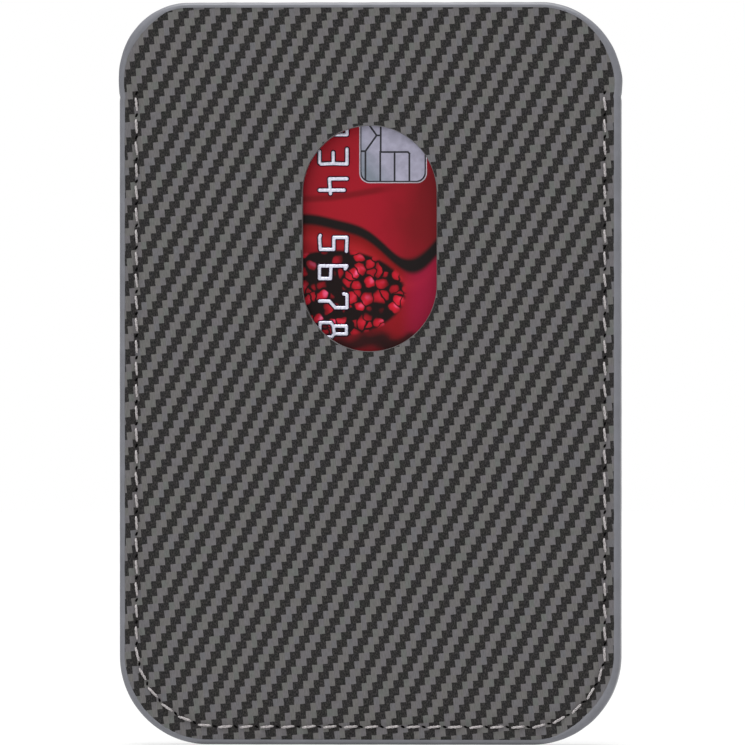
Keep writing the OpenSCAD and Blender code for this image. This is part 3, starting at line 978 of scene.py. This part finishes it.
def beads(across, up):
    """Colour of the beads, and 1 inside the oval that holds them."""
    dx = (across - beads_middle[0]) / beads_half[0]
    dz = (up - beads_middle[1]) / beads_half[1]
    reach = dx * dx + dz * dz
    inside = 1.0 - smooth(reach, 0.9, 1.06)
    place = add("ShaderNodeCombineXYZ", {0: across, 1: up})
    shifted = add("ShaderNodeTexNoise", {"Vector": place, "Scale": 0.8, "Detail": 1.0}).outputs["Color"]
    bent = vectors("MULTIPLY_ADD", shifted, (1.1, 1.1, 0.0), place)
    layout = {"Vector": bent, "Scale": 0.66, "Randomness": 0.8}
    cells = add("ShaderNodeTexVoronoi", layout)
    gaps = add("ShaderNodeTexVoronoi", layout, feature="DISTANCE_TO_EDGE").outputs["Distance"]
    lamp = add("ShaderNodeTexVoronoi", {**layout, "Vector": vectors("ADD", bent, (-0.3, -0.2, 0.0))})
    chance = add("ShaderNodeSeparateColor", {0: cells.outputs["Color"]}).outputs
    body = ramp(cells.outputs["Distance"], (0.1, 220, 30, 56), (0.4, 178, 18, 36), (0.62, 110, 8, 18))
    shine = 1.0 - smooth(lamp.outputs["Distance"], 0.04, 0.38)
    glow = mix(chance[0], screen(250, 108, 158), screen(226, 56, 76))
    lit = mix(shine * smooth(gaps, 0.04, 0.14), body, glow)
    past_rim = cells.outputs["Distance"] - (chance[2] * 0.26 + 0.42)
    solid = smooth(gaps, 0.02, 0.07) * (1.0 - smooth(past_rim, -0.07, 0.07))
    present = solid * smooth(chance[1], 0.1, 0.2)
    return mix(present, screen(16, 8, 8), lit), inside


def printed_red():
    """The whole print as one colour socket, from the ground up: bands, beads, lines and the wave."""
    across, up, angle = print_tile()
    above = up - wave_height(angle)
    ripple = noise(object_mm(), 0.25, 2.0)
    rightness = calc("COSINE", angle - 0.45) * -0.5 + 0.5
    shaded = rightness * (0.8 - smooth(above, 9.0, 17.0))
    far = ripple * 0.4 + shaded
    field = ramp(far, (0.2, 162, 20, 36), (0.6, 156, 16, 36), (1.0, 122, 14, 24))
    lower = above * -1.0 / 24.0
    shine = ramp(lower, (0.0, 90, 8, 12), (0.05, 134, 12, 16), (0.1, 166, 26, 34), (0.15, 146, 14, 26),
                 (0.38, 140, 12, 24), (0.5, 90, 8, 14), (0.62, 128, 12, 26), (0.85, 152, 16, 34))
    pink = smooth(rightness, 0.72, 0.97) * (1.0 - smooth(lower, 0.36, 0.56))
    valley = mix(pink * 0.62, shine, screen(160, 16, 66))
    upper_side = smooth(above, -0.2, 0.2)
    ground = mix(upper_side, valley, field)
    lit_beads, in_oval = beads(across, up)
    filled = mix(in_oval, ground, lit_beads)
    soft_height = calc("COSINE", angle) * -0.8 + 5.85
    soft_line = abs(up - soft_height)
    soft_side = 1.0 - smooth(rightness, 0.4, 0.8)
    soft = (1.0 - smooth(soft_line, 0.1, 0.7)) * soft_side
    lined = mix(soft * 0.55, filled, screen(84, 8, 10))
    thick = smooth(rightness, 0.7, 1.0) * 0.45 + 0.66
    near = abs(above / thick)
    band = 1.0 - smooth(near, 0.55, 1.45)
    waved = mix(band, lined, screen(16, 14, 14))
    foot = abs(up + ripple * 4.0 + 11.2)
    dark_foot = (1.0 - smooth(foot, 0.3, 1.5)) * 0.85
    footed = mix(dark_foot, waved, screen(18, 10, 10))
    far_up = abs(up - tile_middle[1])
    return mix(smooth(far_up, 18.5, 22.5), footed, screen(154, 16, 35))


def card_face():
    begin("card print", 0.3, Specular_IOR_Level=0.12, Coat_Weight=0.06, Coat_Roughness=0.15)
    fine = noise(object_mm((5, 5, 5)), 1.0, 2.0)
    red = printed_red()
    paint(Base_Color=mix(fine * 0.12, red, screen(60, 12, 16)), Roughness=fine * 0.12 + 0.28)
    return bump(noise(object_mm(), 0.3, 2.0), 0.05, 0.15)


def card_reverse():
    """The back's print: one deep red with fine wavy security lines."""
    begin("card reverse", 0.32, Specular_IOR_Level=0.3, Coat_Weight=0.2, Coat_Roughness=0.2)
    place = split(object_mm())
    sway = calc("SINE", place[0] * 0.35) * 2.2
    phase = (place[2] + sway) * 4.5
    line = smooth(calc("SINE", phase), 0.55, 0.95)
    cloud = noise(object_mm(), 0.08, 2.0)
    base = mix(cloud, screen(128, 22, 32), screen(94, 16, 24))
    paint(Base_Color=mix(line * 0.35, base, screen(176, 66, 76)))
    return bump(cloud, 0.05, 0.1)


def card_edge(depth_back, depth_front):
    """The sheared edge: clear films outside, a thin line of print and the white core."""
    begin("card edge", 0.55)
    place = split(object_mm())
    depth = place[1] * -1.0
    share = (depth - depth_back) / (depth_front - depth_back)
    layers = ramp(share, (0.0, 150, 70, 76), (0.1, 120, 24, 34), (0.16, 214, 208, 206), (0.5, 224, 220, 216),
                  (0.84, 214, 206, 206), (0.9, 134, 24, 34), (1.0, 160, 70, 78))
    shear = noise(object_mm((1, 12, 1)), 3.0, 2.0)
    paint(Base_Color=mix(shear * 0.25, layers, screen(120, 108, 108)))
    return bump(shear, 0.03, 0.5)


# %% [markdown]
# ## The card's body
# The body is a loft of four rounded rectangles, so that its edge has the tiny radius of a punched card.
# Seats for the chip, the stripe and the panel are cut as they are milled in a real card. The chip's
# seat has a sloped wall, and its pale core shows as a bright line around the chip.

# %% Card body
def stepped_block(name, steps, low, high, corner_radius, materials=(), segments=10):
    """A block between two corners through (inset, depth) steps, from the back to the front."""
    rings = []
    for inset, depth in steps:
        radius = corner_radius - inset
        left, right = low.x + inset + radius, high.x - inset - radius
        foot, top = low.z + inset + radius, high.z - inset - radius
        ring = []
        for x, z, first in ((right, top, 0), (left, top, 90), (left, foot, 180), (right, foot, 270)):
            for angle in np.radians(np.linspace(first, first + 90, segments)):
                ring.append((x + radius * math.cos(angle), -depth, z + radius * math.sin(angle)))
        rings.append(ring)
    return loft(name, rings, materials)


card_low, card_high = box_mm("card_body")
chip_low, chip_high = box_mm("card_chip")
stripe_low, stripe_high = box_mm("card_stripe")
panel_low, panel_high = box_mm("card_signature_panel")
card_back_depth = -card_high.y
card_front_depth = -chip_low.y
card_corner = 3.18
chip_corner = 1.3
seat_slope = 0.16
seat_depth = 0.14
print("card", round(card_high.x - card_low.x, 2), "x", round(card_high.z - card_low.z, 2),
      "thickness", round(card_front_depth - card_back_depth, 2))


def assign_card_faces(thing):
    """Print on the front, the reverse print on the back, layers on the edge and core in the seats."""
    inner = 0.4
    for face in thing.data.polygons:
        centre, normal = face.center / MM, face.normal
        if normal.y < -0.9 and -centre.y > card_front_depth - 0.01:
            face.material_index = 0
        elif normal.y > 0.9 and -centre.y < card_back_depth + 0.06:
            face.material_index = 1
        elif edge_gap(centre) < inner:
            face.material_index = 2
        else:
            face.material_index = 3


def edge_gap(centre):
    """How far a point inside the card lies from its edge."""
    side = min(centre.x - card_low.x, card_high.x - centre.x)
    end = min(centre.z - card_low.z, card_high.z - centre.z)
    round_corner = card_corner - math.hypot(max(card_corner - side, 0), max(card_corner - end, 0))
    return min(side, end, round_corner)


def card_body(name):
    edge = 0.05
    white_core = grained("card core", (1, 1, 1), 5.0, 2.0, (186, 176, 190), (214, 206, 216), roughness=0.6)
    finishes = [card_face(), card_reverse(), card_edge(card_back_depth, card_front_depth), white_core]
    steps = ((edge, card_back_depth), (0.0, card_back_depth + edge), (0.0, card_front_depth - edge),
             (edge, card_front_depth))
    made = stepped_block(name, steps, card_low, card_high, card_corner, finishes)
    seat_steps = ((seat_slope, card_front_depth - seat_depth), (0.0, card_front_depth),
                  (0.0, card_front_depth + 1))
    seat = stepped_block("seat", seat_steps, chip_low, chip_high, chip_corner)
    boolean(made, seat, "DIFFERENCE")
    for low, high in ((stripe_low, stripe_high), (panel_low, panel_high)):
        loop = [(low.x, low.z), (high.x, low.z), (high.x, high.z), (low.x, high.z)]
        boolean(made, prism("seat", loop, card_back_depth - 1, -low.y), "DIFFERENCE")
    assign_card_faces(made)
    return made


place_piece(card_body("card_sheet"), "card", "card_plastic", "card_body", crease=40)

# %% [markdown]
# ## The card's number
# The number is pressed up from behind, and foil is rubbed onto the tops. A digit is a few straight strokes.
# The distance to the nearest stroke gives the height of each point of a fine grid, so strokes merge
# softly where they meet, as pressed plastic does. Points outside the strokes lie just under the card's
# face, which hides the cut edge of the grid. The number is the usual dummy, 1234 5678 9012 3456.

# %% Digits
STROKES = {
    "0": [[(0.1, 0), (0.1, 1), (0.9, 1), (0.9, 0), (0.1, 0)]],
    "1": [[(0.25, 0.84), (0.55, 1), (0.55, 0)], [(0.25, 0), (0.85, 0)]],
    "2": [[(0.06, 1), (0.92, 1), (0.92, 0.54), (0.08, 0.46), (0.08, 0), (0.95, 0)]],
    "3": [[(0.0, 1), (0.95, 1), (0.92, 0.5), (0.95, 0.06), (0.86, 0), (0.15, 0)], [(0.22, 0.5), (0.92, 0.5)]],
    "4": [[(0.06, 1), (0.06, 0.36), (1.0, 0.4)], [(0.78, 0.9), (0.78, 0)]],
    "5": [[(1.0, 0.98), (0.12, 1), (0.12, 0.52), (0.88, 0.52), (0.88, 0.03), (0.14, 0), (0.0, 0.03)]],
    "6": [[(0.28, 0.94), (0.1, 1), (0.1, 0), (0.9, 0), (0.9, 0.4), (0.1, 0.42)]],
    "7": [[(0.04, 0.88), (0.1, 1), (0.92, 1), (0.92, 0.58), (0.5, 0.36), (0.5, 0)]],
    "8": [[(0.26, 0.54), (0.26, 0.98), (0.76, 0.98), (0.76, 0.54), (0.26, 0.5), (0.04, 0.42), (0.04, 0.02),
           (0.94, 0), (0.96, 0.44), (0.76, 0.54)]],
    "9": [[(0.72, 0.06), (0.9, 0), (0.9, 1), (0.1, 1), (0.1, 0.6), (0.9, 0.58)]],
}
card_number = "1234 5678 9012 3456"
digit_wide, digit_tall = 2.0, 3.5
stroke_half = 0.3
digit_line_x = -4.72
digit_first, digit_last = 10.2, 9.52
digit_relief = -card_low.y - card_front_depth
digit_pitch = (card_high.z - card_low.z - digit_first - digit_last) / (len(card_number) - 1)


def stroke_distance(points, strokes):
    """Distance from each (x, z) point to the nearest stroke."""
    nearest = np.full(len(points), FAR)
    for stroke in strokes:
        for start, end in zip(stroke, stroke[1:]):
            a, b = np.array(start), np.array(end)
            along = b - a
            share = np.clip((points - a) @ along / (along @ along), 0, 1)
            nearest = np.minimum(nearest, np.hypot(*(points - a - share[:, None] * along).T))
    return nearest


def digit_patch(digit, middle_x, middle_z, spacing=0.085, skirt=0.16, root=0.06):
    """Points and faces of one raised digit that reads down the card, closed below the card's face."""
    # A digit's own right points down the card and its own top points to the card's right.
    strokes = [[(middle_x + (v - 0.5) * digit_tall, middle_z - (u - 0.5) * digit_wide) for u, v in stroke]
               for stroke in STROKES[digit]]
    reach = stroke_half + skirt
    xs = np.arange(middle_x - digit_tall / 2 - reach, middle_x + digit_tall / 2 + reach, spacing)
    zs = np.arange(middle_z - digit_wide / 2 - reach, middle_z + digit_wide / 2 + reach, spacing)
    grid = np.array([(x, z) for z in zs for x in xs])
    distance = stroke_distance(grid, strokes)
    rise = np.clip((stroke_half + 0.1 - distance) / 0.28, 0, 1)
    height = (digit_relief + root) * rise * rise * (3 - 2 * rise) - root
    wide = len(xs)
    kept = distance < stroke_half + skirt
    quads = [(j * wide + i, j * wide + i + 1, (j + 1) * wide + i + 1, (j + 1) * wide + i)
             for j in range(len(zs) - 1) for i in range(wide - 1)]
    quads = [quad for quad in quads if all(kept[i] for i in quad)]
    used = sorted({i for quad in quads for i in quad})
    number = {old: new for new, old in enumerate(used)}
    points = [(grid[i][0], -(card_front_depth + height[i]), grid[i][1]) for i in used]
    return points, [tuple(number[i] for i in quad) for quad in quads]


def foil():
    """Silver foil on the tops, and down the flanks a painted shadow, dark red at the foot and navy higher up.
    """
    begin("number foil", 0.35, Specular_IOR_Level=0.5)
    place = split(object_mm())
    height = place[1] * -1.0 - card_front_depth
    rub = noise(object_mm(), 4.0, 3.0)
    top = smooth(rub * 0.03 + height, digit_relief * 0.62, digit_relief * 0.9)
    silver = ramp(rub, (0.3, 200, 200, 218), (0.7, 236, 236, 250))
    # Painted shadow: the flanks of the raised strokes go from dark red at the foot to dark navy higher up.
    flank_shadow = mix(smooth(height, 0.0, digit_relief * 0.2), screen(70, 10, 22), screen(16, 14, 44))
    paint(Base_Color=mix(top, flank_shadow, silver), Metallic=top * 0.45, Specular_IOR_Level=top * 0.5)
    return bump(rub, 0.03, 0.3)


def number_row(name):
    points, faces = [], []
    for k, digit in enumerate(card_number):
        if digit != " ":
            middle_z = card_high.z - digit_first - k * digit_pitch
            patch_points, patch_faces = digit_patch(digit, digit_line_x, middle_z)
            faces += [tuple(len(points) + i for i in face) for face in patch_faces]
            points += patch_points
    made = new_object(name, points, faces, [foil()])
    with open_mesh(made) as shell:
        set_depth(bmesh.ops.extrude_face_region(shell, geom=shell.faces[:])["geom"], card_front_depth - 0.1)
    return made


place_piece(number_row("card_number"), "card", "card_plastic", crease=60)

# %% [markdown]
# ## The chip's contacts
# The contact plate is one thin sheet of plated copper, etched into pads by fine lines. The lines are cut
# as shallow grooves, each a thin box, and the same lines are mirrored to the plate's other half. The
# grooves keep the colour of the dark epoxy below.

# %% Chip
chip_gap = 0.27
line_wide = 0.23
line_deep = 0.05
chip_mirror_z = 13.1
CHIP_LINES = [
    [(-1.6, 11.1), (-0.63, 11.1), (0.79, chip_mirror_z)],
    [(-0.63, 11.1), (-0.63, 6.0)],
    [(0.79, chip_mirror_z), (1.31, chip_mirror_z)],
    [(1.31, chip_mirror_z), (1.31, 10.99), (4.75, 10.99), (4.95, 10.79), (4.95, 6.0)],
    [(1.25, 11.0), (1.25, 6.0)],
    [(3.07, 11.0), (3.07, 6.0)],
]


def plated_contacts():
    begin("chip contacts", 0.42, Metallic=0.55, Specular_IOR_Level=0.4)
    mottled = noise(object_mm(), 1.2, 2.0)
    across, _, up = split(object_mm())
    # Painted shade: the plate darkens to a teal towards its lower left corner.
    corner = across * 0.5 + up * 0.35
    plate_shade = 1.0 - smooth(corner, 2.6, 4.6)
    silver = ramp(mottled, (0.34, 157, 155, 173), (0.66, 172, 169, 189))
    brushed = noise(object_mm((1, 1, 14)), 1.0, 2.0)
    paint(Base_Color=mix(plate_shade * 0.6, silver, screen(92, 112, 118)), Roughness=brushed * 0.15 + 0.36)
    return bump(brushed, 0.02, 0.25)


epoxy = grained("chip epoxy", (1, 1, 1), 6.0, 2.0, (4, 4, 16), (14, 13, 30), roughness=0.6)


def line_box(start, end, wide, depth_from, depth_to):
    """A thin box along a line, a little longer than the line so that corners close."""
    a, b = np.array(start), np.array(end)
    along = (b - a) / np.hypot(*(b - a)) * wide / 2
    side = np.array([-along[1], along[0]])
    loop = [a - along - side, b + along - side, b + along + side, a - along + side]
    return prism("line", loop, depth_from, depth_to)


def contacts(name):
    steps = ((chip_gap, card_front_depth - 0.12), (chip_gap, card_front_depth - 0.03),
             (chip_gap + 0.03, card_front_depth))
    plate = stepped_block(name, steps, chip_low, chip_high, chip_corner + 0.1, [plated_contacts(), epoxy])
    for line in CHIP_LINES:
        for start, end in zip(line, line[1:]):
            for flip in (False, True):
                ends = [(x, 2 * chip_mirror_z - z) if flip else (x, z) for x, z in (start, end)]
                box = line_box(*ends, line_wide, card_front_depth - line_deep, card_front_depth + 0.1)
                boolean(plate, box, "DIFFERENCE")
    for face in plate.data.polygons:
        in_groove = -face.center.y / MM < card_front_depth - line_deep * 0.3 and face.normal.y < 0.5
        face.material_index = 1 if in_groove else 0
    return plate


def chip_bed(name):
    """The dark bed of epoxy under the plate, which shows as a thin line around it."""
    steps = ((seat_slope - 0.02, card_front_depth - seat_depth - 0.02),
             (seat_slope + 0.01, card_front_depth - 0.07))
    return stepped_block(name, steps, chip_low, chip_high, chip_corner, [epoxy])


place_piece(contacts("chip_contacts"), "card", "chip_contacts", "card_chip", crease=30)
place_piece(chip_bed("chip_bed"), "card", "chip_contacts", crease=30)

# %% [markdown]
# ## Finishes of the carried-over pieces
# The linings, the boards, the steel and the magnets keep their engineering shape. They show at the mouth,
# in the gap between the leaves or not at all, and each still gets its own finish: napped microfibre,
# pressed fibre board, bonded leather, rolled steel, nickel plating, film, and the card's stripe and panel.

# %% Carried-over materials
def microfibre():
    begin("microfibre", 0.9, Sheen_Weight=0.5, Sheen_Roughness=0.5, Specular_IOR_Level=0.1)
    nap = noise(object_mm((6, 6, 6)), 1.0, 4.0, 0.7)
    patch = noise(object_mm(), 0.2, 3.0)
    tone = ramp(nap, (0.3, 34, 34, 36), (0.7, 64, 64, 67))
    paint(Base_Color=mix(patch * 0.3, tone, screen(40, 40, 43)))
    return bump(nap, 0.1, 0.8)


def writable_panel():
    begin("signature panel", 0.75, Specular_IOR_Level=0.2)
    place = split(object_mm())
    phase = (place[2] + place[0]) * 3.6
    line = smooth(calc("SINE", phase), 0.6, 0.95)
    paper = noise(object_mm(), 4.0, 3.0)
    base = ramp(paper, (0.3, 222, 219, 210), (0.7, 238, 236, 229))
    paint(Base_Color=mix(line * 0.35, base, screen(204, 176, 176)))
    return bump(paper, 0.02, 0.4)


board = grained("fibre board", (3, 3, 0.6), 1.0, 4.0, (128, 118, 104), (168, 158, 142), (0.06, 0.6),
                fineness=0.65, roughness=0.8, Specular_IOR_Level=0.2)
steel = grained("rolled steel", (12, 12, 0.2), 1.0, 3.0, (186, 188, 192), (212, 213, 216), (0.01, 0.4),
                stir=(0.2, 0.25), Metallic=1.0)
plating = grained("nickel plating", (1, 1, 1), 3.0, 2.0, (214, 212, 206), (226, 224, 220), (0.01, 0.3),
                  stir=(0.14, 0.12), Metallic=1.0)
film = grained("film", (1, 1, 1), 0.8, 3.0, (196, 199, 204), (222, 224, 228), (0.02, 0.2),
               roughness=0.15, Coat_Weight=0.4)
stripe = grained("magnetic stripe", (6, 1, 0.15), 1.0, 3.0, (16, 14, 13), (32, 28, 26), (0.01, 0.2),
                 stir=(0.16, 0.16), Specular_IOR_Level=0.15)
bonded = pebbled_leather("bonded leather", screen(58, 54, 52), screen(34, 31, 30), 1.4)
cloth = microfibre()
CARRIED = {
    "front_stiffener": (board, "fibre_board"),
    "magnet_carrier": (board, "fibre_board"),
    "front_lining": (cloth, "lining_cloth"),
    "pocket_lining": (cloth, "lining_cloth"),
    "edge_spacer": (bonded, "bonded_leather"),
    "shield_plate": (steel, "shield_steel"),
    "yoke_ring": (steel, "shield_steel"),
    "yoke_bar": (steel, "shield_steel"),
    "ring_magnets": (plating, "magnet_nickel"),
    "alignment_magnets": (plating, "magnet_nickel"),
    "magnet_film": (film, "film"),
    "card_stripe": (stripe, "stripe"),
    "card_signature_panel": (writable_panel(), "signature_panel"),
}
for node_name, (node_finish, slot_name) in CARRIED.items():
    node_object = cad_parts[node_name]
    node_object.data.materials.clear()
    node_object.data.materials.append(node_finish)
print("carried over:", len(CARRIED), "nodes")

# %% [markdown]
# ## Stage, light and camera
# The wallet stands on its foot on a pale floor in a dim, even room. A flat face has to be lit evenly, so the
# main light is a wide, soft sun right overhead, which grazes the front and draws a bright line along the
# top edge. One weak lamp in front fills it in, and the floor glows a little, so that it stays pale in the
# wallet's shade. A long lens from a metre and a half away shows the front almost without perspective.

# %% Stage and light
pale_floor = grained("floor", (1, 1, 1), 0.002, 2.0, (134, 134, 134), (137, 137, 137), roughness=0.9,
                     Specular_IOR_Level=0.1, Emission_Strength=0.68, Emission_Color=(1, 1, 1, 1))
floor_radius = 2500.0
floor_z = bottom_z - bead_crown - 0.03
rim_angles = np.linspace(0, 2 * math.pi, 64, endpoint=False)
floor_points = [(floor_radius * math.cos(a), floor_radius * math.sin(a), floor_z) for a in rim_angles]
floor = new_object("floor", floor_points, [tuple(range(len(floor_points)))], [pale_floor])


def add_lamp(name, kind, power, place=(0, 0, 0), turn=None, **settings):
    """A lamp that faces the wallet's middle, or is turned as given."""
    lamp = bpy.data.lights.new(name, kind)
    lamp.energy = power
    for setting, value in settings.items():
        setattr(lamp, setting, value)
    made = add_object(name, lamp)
    made.location = place
    aim = Vector((0, 0, -0.02)) - Vector(place)
    made.rotation_euler = turn or aim.to_track_quat("-Z", "Y").to_euler()
    print(name, power)


add_lamp("overhead light", "SUN", 3.9, turn=(math.radians(3), 0.0, 0.0), angle=math.radians(50))
add_lamp("front lamp", "AREA", 10, place=(-0.6, -1.8, 0.9), size=1.2)


def studio_world():
    """White behind the object for the camera, and a dimmer even light for everything else."""
    world = bpy.data.worlds.new("studio")
    world.use_nodes = True
    Desk.tree = world.node_tree
    Desk.tree.nodes.clear()
    seen = add("ShaderNodeBackground", {"Color": (1, 1, 1, 1), "Strength": 1.0})
    felt = add("ShaderNodeBackground", {"Color": (1, 1, 1, 1), "Strength": 0.37})
    path = add("ShaderNodeLightPath")
    blend = add("ShaderNodeMixShader", {0: path.outputs["Is Camera Ray"], 1: felt, 2: seen})
    add("ShaderNodeOutputWorld", {"Surface": blend})
    bpy.context.scene.world = world


studio_world()
bpy.context.scene.view_settings.view_transform = "Standard"

# %% Camera
field_width = 94.54
camera_distance = 1500.0
camera_turn = math.radians(3.2)
object_middle = Vector((0.0, -thickness / 2, (top_z + bottom_z) / 2))
target = (object_middle + Vector((0.22, 0.0, 0.13))) * MM
camera_data = bpy.data.cameras.new("camera")
camera_data.sensor_width = 36
camera_data.lens = camera_data.sensor_width * camera_distance / field_width
camera_data.clip_end = 10
camera = add_object("camera", camera_data)
towards = Vector((math.sin(camera_turn), -math.cos(camera_turn), 0.0))
camera.location = target + towards * camera_distance * MM
camera.rotation_euler = towards.to_track_quat("Z", "Y").to_euler()
bpy.context.scene.camera = camera
print("lens", round(camera_data.lens, 1), "mm")
